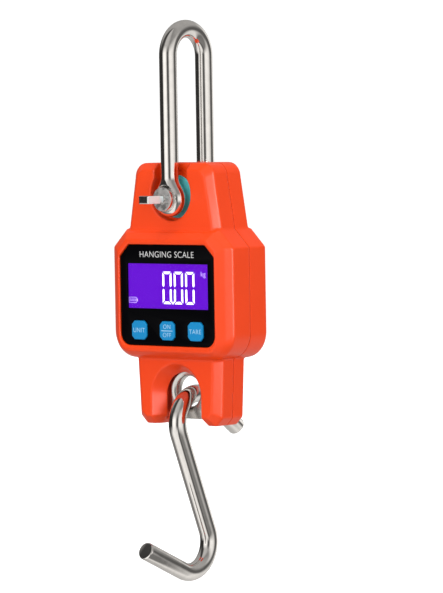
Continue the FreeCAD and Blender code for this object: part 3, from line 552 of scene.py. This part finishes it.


# ---- shackle pin ---------------------------------------------------------------------------
# Turned from stainless steel, with a round collar, left as tumbled on its face, and a bar to
# turn it by, whose flat sides are satin steel painted pale: a painted reflection of a bright room.
cast = metal("tumbled_steel", (0.50, 0.49, 0.48), roughness=0.34, depth=1.0, cloud=1.6, bare=0.6)
# The bar's flat sides get a pale, barely metallic colour, a painted reflection of a bright room.
bar_painted_reflection = metal("satin_plate_painted_reflection", (0.78, 0.89, 0.90), roughness=0.3, depth=0.2, cloud=0.1, bare=0.3)
pin = softened("shackle_pin", "shackle_pin_turned", voxel=0.25, rounds=3, faces=30000)
dress(pin, steel, angle=60)
pin.data.materials.append(cast)
pin.data.materials.append(bar_painted_reflection)
COLLAR_FACE = washer_low.y - 2.2 * MM
COLLAR_NEAR = 0.3 * MM
BAR_FROM = COLLAR_FACE - 1.0 * MM
BAR_SIDE = 0.7
# The collar's face takes the tumbled steel, and the bar's flat sides take the painted reflection.
for face in pin.data.polygons:
    on_collar = abs(face.center.y - COLLAR_FACE) < COLLAR_NEAR and face.normal.y < -SHARP_TURN
    on_bar = face.center.y < BAR_FROM and abs(face.normal.x) > BAR_SIDE
    face.material_index = 1 if on_collar else 2 if on_bar else 0
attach(pin, "pin")


# ---- load cell and bushes ------------------------------------------------------------------
# The load cell is a bar of machined aluminium alloy with the hook's eye at its foot. Flanged
# nylon bushes either side of it carry the pin.
alloy = metal("machined_alloy", (0.72, 0.70, 0.68), roughness=0.24, depth=0.3, cloud=0.12)
rimmed("load_cell", "load_cell_bar", "scale_body", alloy, width=0.35)
teal = plastic("teal_nylon", (0.08, 0.52, 0.54), roughness=0.3, Specular_IOR_Level=0.4)
for node in ("bush_front", "bush_rear"):
    rimmed(node, node + "_moulding", "scale_body", teal, width=0.3)


# ---- front panel and window ----------------------------------------------------------------
# A sheet of black polycarbonate set into the front shell, with a clear acrylic window over the
# display.
black_film = plastic("black_panel_film", (0.0015, 0.0015, 0.0022), roughness=0.3, depth=0.05,
                     Specular_IOR_Level=0.06)
rimmed("front_panel", "front_panel_sheet", "scale_body", black_film, width=0.3)


def paint(node, material):
    """Gives a CAD node its material."""
    slots = NODES[node].material_slots
    if not slots:
        NODES[node].data.materials.append(material)
    for place in NODES[node].material_slots:
        place.material = material


window = new_material("acrylic_window", Base_Color=(1, 1, 1, 1), Roughness=0.02, Transmission_Weight=1.0,
                      IOR=1.08)
paint("display_lens", window)


# ---- display -------------------------------------------------------------------------------
# A negative LCD lit violet from behind. Its digits, unit and battery symbol are clear segments
# in the glass, so they shine white or pale.
violet = new_material("lit_violet_lcd", Base_Color=(0.01, 0.0, 0.03, 1), Roughness=0.5,
                      Specular_IOR_Level=0.0, Emission_Color=(0.135, 0.009, 0.66, 1), Emission_Strength=1.0)
paint("lcd_glass", violet)
lit = new_material("lit_segments", Base_Color=(0.8, 0.8, 0.8, 1), Roughness=0.5, Specular_IOR_Level=0.0,
                   Emission_Color=(0.92, 0.88, 1, 1), Emission_Strength=1.0)
glass_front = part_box("lcd_glass")[0].y


def inlay(name, outlines, front, thick, body, material):
    """Thin prisms from outlines across and up in mm, standing `thick` mm out of the plane y = front."""
    bm = bmesh.new()
    for outline in outlines:
        near = [bm.verts.new((x * MM, front - thick * MM, z * MM)) for x, z in outline]
        far = [bm.verts.new((x * MM, front, z * MM)) for x, z in outline]
        bm.faces.new(near)
        bm.faces.new(far[::-1])
        for i in range(len(near)):
            bm.faces.new((near[i], far[i], far[(i + 1) % len(far)], near[(i + 1) % len(near)]))
    bmesh.ops.recalc_face_normals(bm, faces=bm.faces)
    made = from_bmesh(name, bm)
    made.data.materials.append(material)
    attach(made, body)
    return made


DIGIT_TALL, DIGIT_WIDE, DIGIT_PITCH = 14.8, 5.5, 6.9
STROKE, MITRE_GAP = 1.12, 0.45
PIN_AT = PIN_LEVEL / MM
DIGIT_LEVEL = PIN_AT - 40.5
LAST_DIGIT = 12.0
SEGMENT_THICK = 0.03


def zero_digit(middle):
    """The six segments of a nought, mitred at the corners and pointed at the waist."""
    outlines = []
    half, tall, thick, gap = DIGIT_WIDE / 2, DIGIT_TALL / 2, STROKE, MITRE_GAP
    for up in (1, -1):
        bar = [(-half + gap, tall), (half - gap, tall), (half - thick - gap, tall - thick),
               (-half + thick + gap, tall - thick)]
        outlines.append([(middle + x, DIGIT_LEVEL + up * z) for x, z in bar])
        for side in (1, -1):
            leg = [(half, tall - gap), (half, gap + thick / 2), (half - thick / 2, gap),
                   (half - thick, gap + thick / 2), (half - thick, tall - thick - gap)]
            outlines.append([(middle + side * x, DIGIT_LEVEL + up * z) for x, z in leg])
    return outlines


def block(left, right, low, high):
    return [(left, low), (right, low), (right, high), (left, high)]


segments = []
for place in range(3):
    segments += zero_digit(LAST_DIGIT - place * DIGIT_PITCH)
POINT_AT = LAST_DIGIT - 1.5 * DIGIT_PITCH
POINT_FOOT = DIGIT_LEVEL - DIGIT_TALL / 2
POINT_WIDE = 1.1
segments.append(block(POINT_AT - POINT_WIDE / 2, POINT_AT + POINT_WIDE / 2, POINT_FOOT,
                      POINT_FOOT + POINT_WIDE))
inlay("lcd_segments", segments, glass_front, SEGMENT_THICK, "scale_body", lit)

faint = new_material("lit_icons", Base_Color=(0.5, 0.4, 0.6, 1), Roughness=0.5, Specular_IOR_Level=0.0,
                     Emission_Color=(0.55, 0.36, 0.95, 1), Emission_Strength=1.0)
SYMBOL_AT, SYMBOL_LEVEL = -22.8, PIN_AT - 46.4
SYMBOL_HALF_WIDE, SYMBOL_HALF_TALL, SYMBOL_LINE = 2.2, 1.25, 0.16
CHARGE_PITCH, CHARGE_HALF_WIDE, CHARGE_HALF_TALL = 1.25, 0.16, 0.65
KNOB_GAP, KNOB_WIDE, KNOB_HALF_TALL = 0.3, 0.45, 0.6


def symbol_block(left, right, low, high):
    """A block measured from the middle of the battery symbol."""
    return block(SYMBOL_AT + left, SYMBOL_AT + right, SYMBOL_LEVEL + low, SYMBOL_LEVEL + high)


segments = []
for side in (1, -1):
    edge = side * SYMBOL_HALF_TALL
    segments.append(symbol_block(-SYMBOL_HALF_WIDE, SYMBOL_HALF_WIDE, edge - SYMBOL_LINE / 2,
                                 edge + SYMBOL_LINE / 2))
for side in (1, -1):
    edge = side * SYMBOL_HALF_WIDE
    segments.append(symbol_block(edge - SYMBOL_LINE / 2, edge + SYMBOL_LINE / 2,
                                 -SYMBOL_HALF_TALL + SYMBOL_LINE, SYMBOL_HALF_TALL - SYMBOL_LINE))
for number in (-1, 0, 1):
    middle = number * CHARGE_PITCH
    segments.append(symbol_block(middle - CHARGE_HALF_WIDE, middle + CHARGE_HALF_WIDE,
                                 -CHARGE_HALF_TALL, CHARGE_HALF_TALL))
knob = SYMBOL_HALF_WIDE + KNOB_GAP
segments.append(symbol_block(knob, knob + KNOB_WIDE, -KNOB_HALF_TALL, KNOB_HALF_TALL))
inlay("lcd_battery_icon", segments, glass_front, SEGMENT_THICK, "scale_body", faint)

TYPE_HALF_THICK, TYPE_THINNED, TYPE_SPACING = 0.02, -0.012, 1.06
TYPE_RELIEF = 0.5 * MM


def lettering(name, text, across, level, tall, front, body, material):
    """Plain printed capitals, `tall` mm high, about (across, level) on the plane y = front."""
    words = bpy.data.curves.new(name, "FONT")
    words.body = text
    words.align_x = "CENTER"
    words.extrude = TYPE_HALF_THICK
    words.offset = TYPE_THINNED
    words.space_character = TYPE_SPACING
    shown = add_object(name + "_type", words)
    mesh = bpy.data.meshes.new_from_object(shown.evaluated_get(bpy.context.evaluated_depsgraph_get()))
    bpy.data.objects.remove(shown)
    low = min(vertex.co.y for vertex in mesh.vertices)
    high = max(vertex.co.y for vertex in mesh.vertices)
    scale = tall * MM / (high - low)
    for vertex in mesh.vertices:
        x, y, z = vertex.co
        vertex.co = (across * MM + x * scale, front - (z + TYPE_HALF_THICK) * TYPE_RELIEF,
                     level * MM + (y - (low + high) / 2) * scale)
    made = add_object(name, mesh)
    made.data.materials.clear()
    made.data.materials.append(material)
    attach(made, body)
    return made


UNIT_AT, UNIT_LEVEL, UNIT_TALL = 20.0, PIN_AT - 34.3, 2.9
lettering("unit_mark", "kg", UNIT_AT, UNIT_LEVEL, UNIT_TALL, glass_front, "scale_body", faint)


# ---- keys and printing ---------------------------------------------------------------------
# Three blue rubber keys come through the panel from behind. Their legends are printed pale on
# the caps, and the header white on the panel.
blue = plastic("blue_keys", (0.003, 0.24, 0.54), roughness=0.42, depth=0.1, Specular_IOR_Level=0.3)
for node, body in (("unit_key", "unit_button"), ("power_key", "power_button"), ("tare_key", "tare_button")):
    key = softened(node, node + "_cap", voxel=0.2, rounds=3, faces=6000)
    dress(key, blue, angle=60)
    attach(key, body)
PRINT_WHITE = (0.72, 0.72, 0.72)
PRINT_PALE = (0.42, 0.68, 0.85)
HEADER_LEVEL, HEADER_TALL = PIN_AT - 25.2, 2.75
print_white = plastic("printed_white", PRINT_WHITE, roughness=0.5, depth=0.0, Specular_IOR_Level=0.2)
print_pale = plastic("printed_pale_blue", PRINT_PALE, roughness=0.5, depth=0.0, Specular_IOR_Level=0.2)
panel_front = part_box("front_panel")[0].y
lettering("panel_header", "HANGING SCALE", 0, HEADER_LEVEL, HEADER_TALL, panel_front, "scale_body",
          print_white)
KEY_LEVEL = PIN_AT - 60.0
KEY_PITCH = 17.0
LEGEND_TALL, SHORT_LEGEND_TALL, LEGEND_RISE = 2.0, 1.95, 1.9
key_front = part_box("power_key")[0].y
for name, text, across, rise, tall, body in (
    ("unit_legend", "UNIT", -KEY_PITCH, 0, LEGEND_TALL, "unit_button"),
    ("tare_legend", "TARE", KEY_PITCH, 0, LEGEND_TALL, "tare_button"),
    ("on_legend", "ON", 0, LEGEND_RISE, SHORT_LEGEND_TALL, "power_button"),
    ("off_legend", "OFF", 0, -LEGEND_RISE, SHORT_LEGEND_TALL, "power_button"),
):
    lettering(name, text, across, KEY_LEVEL + rise, tall, key_front, body, print_pale)
RULE_HALF_WIDE, RULE_HALF_TALL, RULE_THICK = 3.4, 0.16, 0.02
rule = block(-RULE_HALF_WIDE, RULE_HALF_WIDE, KEY_LEVEL - RULE_HALF_TALL, KEY_LEVEL + RULE_HALF_TALL)
inlay("legend_rule", [rule], key_front, RULE_THICK, "power_button", print_pale)


# ---- case screws ---------------------------------------------------------------------------
# Four zinc-plated steel screws join the shells from the rear. Their heads are sunk in the
# corners and have cross recesses.
zinc = metal("zinc_plate", (0.6, 0.6, 0.58), roughness=0.35)
DRIVE_LONG, DRIVE_WIDE, DRIVE_DEEP = 1.5 * MM, 0.4 * MM, 0.9 * MM
HEAD_SKIN = 0.05 * MM
SCREWS_MIDDLE = PIN_LEVEL - 50 * MM
screws = rimmed("case_screws", "case_screws_driven", "scale_body", zinc, width=0.15)
head_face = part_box("case_screws")[1].y - HEAD_SKIN
heads = [vertex.co.copy() for vertex in NODES["case_screws"].data.vertices if vertex.co.y > head_face]
bm = bmesh.new()
for left in (True, False):
    for upper in (True, False):
        head = [rim for rim in heads if (rim.x < 0) == left and (rim.z > SCREWS_MIDDLE) == upper]
        middle = sum(head, Vector()) / len(head)
        for along, across in ((DRIVE_LONG, DRIVE_WIDE), (DRIVE_WIDE, DRIVE_LONG)):
            for corner in bmesh.ops.create_cube(bm, size=2)["verts"]:
                x, y, z = corner.co
                corner.co = middle + Vector((x * along, y * DRIVE_DEEP, z * across))
cutter = from_bmesh("driver_bit", bm)
recess = screws.modifiers.new("recess", "BOOLEAN")
recess.operation = "DIFFERENCE"
recess.solver = "EXACT"
recess.use_self = True
recess.object = cutter
modified(screws)
bpy.data.objects.remove(cutter)


# ---- inside --------------------------------------------------------------------------------
# What the shells hold: the display's stack, the board with its parts, the load cell's gauges,
# and the three batteries with their contacts.
white = plastic("white_moulding", (0.8, 0.8, 0.78), roughness=0.5)
dark = plastic("black_moulding", (0.02, 0.02, 0.02), roughness=0.5)
laminate = plastic("green_board", (0.01, 0.16, 0.06), roughness=0.35)
rubber = plastic("grey_rubber", (0.2, 0.2, 0.21), roughness=0.7)
film = plastic("gauge_film", (0.5, 0.3, 0.05), roughness=0.4)
for node, material in (
    ("lcd_backlight", white), ("lcd_frame", white), ("contact_strip", rubber), ("main_board", laminate),
    ("key_switches", dark), ("board_chips", dark), ("beeper", dark), ("board_screws", zinc),
    ("strain_gauges", film), ("terminal_strip", laminate), ("sensor_lead", rubber),
    ("battery_cells", dark), ("battery_springs", zinc), ("battery_plates", zinc),
):
    paint(node, material)
